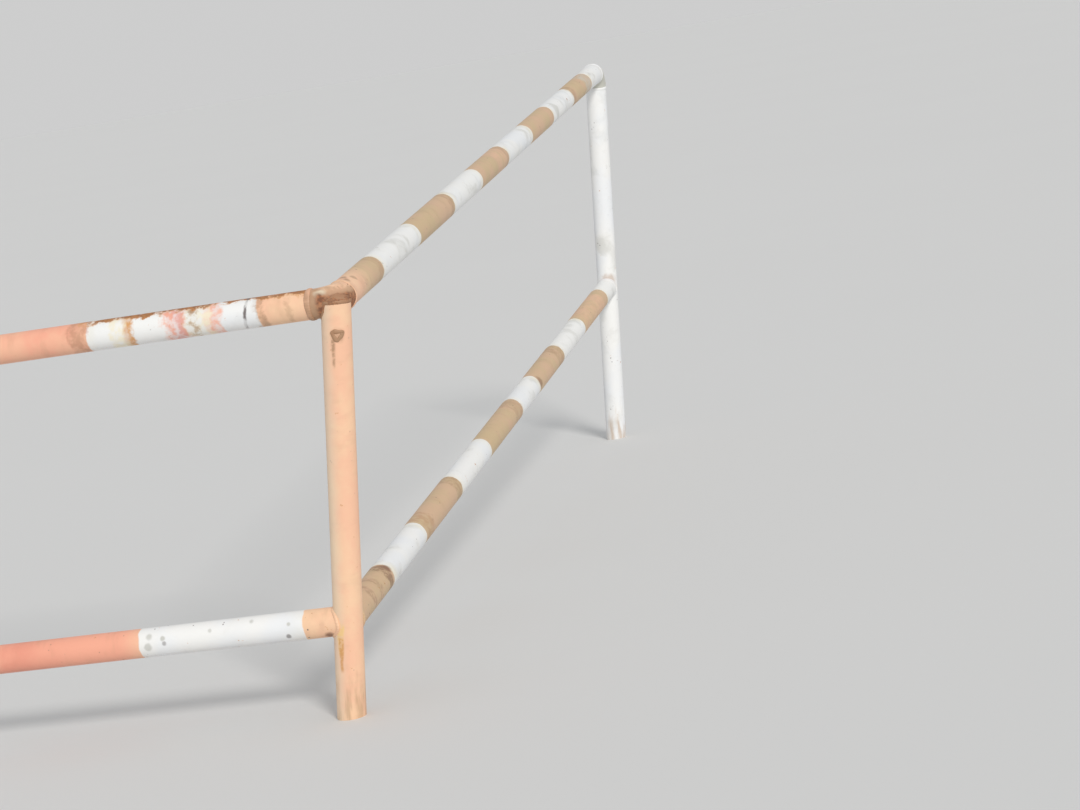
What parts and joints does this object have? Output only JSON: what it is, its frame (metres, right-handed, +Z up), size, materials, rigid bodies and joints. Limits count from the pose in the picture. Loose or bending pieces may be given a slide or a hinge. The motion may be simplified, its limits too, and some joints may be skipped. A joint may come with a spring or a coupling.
{
  "type": "striped steel guard railing",
  "caption": "L-shaped guard railing of red and white banded steel tube on leaning posts set in the ground, from beside a disused level crossing.",
  "frame": {"origin": "centre of the corner post's foot, where it enters the ground", "axes": "+Z up, +Y along the wing beside the track, -X along the part beside the road"},
  "size_m": [7.711, 2.5882, 1.4332],
  "materials": {
    "faded_red_paint": "red paint faded to salmon, with rust at the welds",
    "white_paint": "old white paint with small chips",
    "banded_paint": "alternate bands of faded red and white paint, chipped and rusty"
  },
  "bodies": {
    "root": {"corner_post": "faded_red_paint", "wing_end_post": "white_paint", "road_post_1": "white_paint", "road_post_2": "faded_red_paint", "road_end_post": "white_paint", "wing_top_rail": "banded_paint", "wing_lower_rail": "banded_paint", "road_top_rail_1": "banded_paint", "road_top_rail_2": "banded_paint", "road_top_rail_3": "banded_paint", "road_lower_rail_1": "banded_paint", "road_lower_rail_2": "banded_paint", "road_lower_rail_3": "banded_paint", "corner_elbow": "faded_red_paint", "wing_end_elbow": "white_paint", "road_end_elbow": "white_paint"}
  },
  "joints": []
}
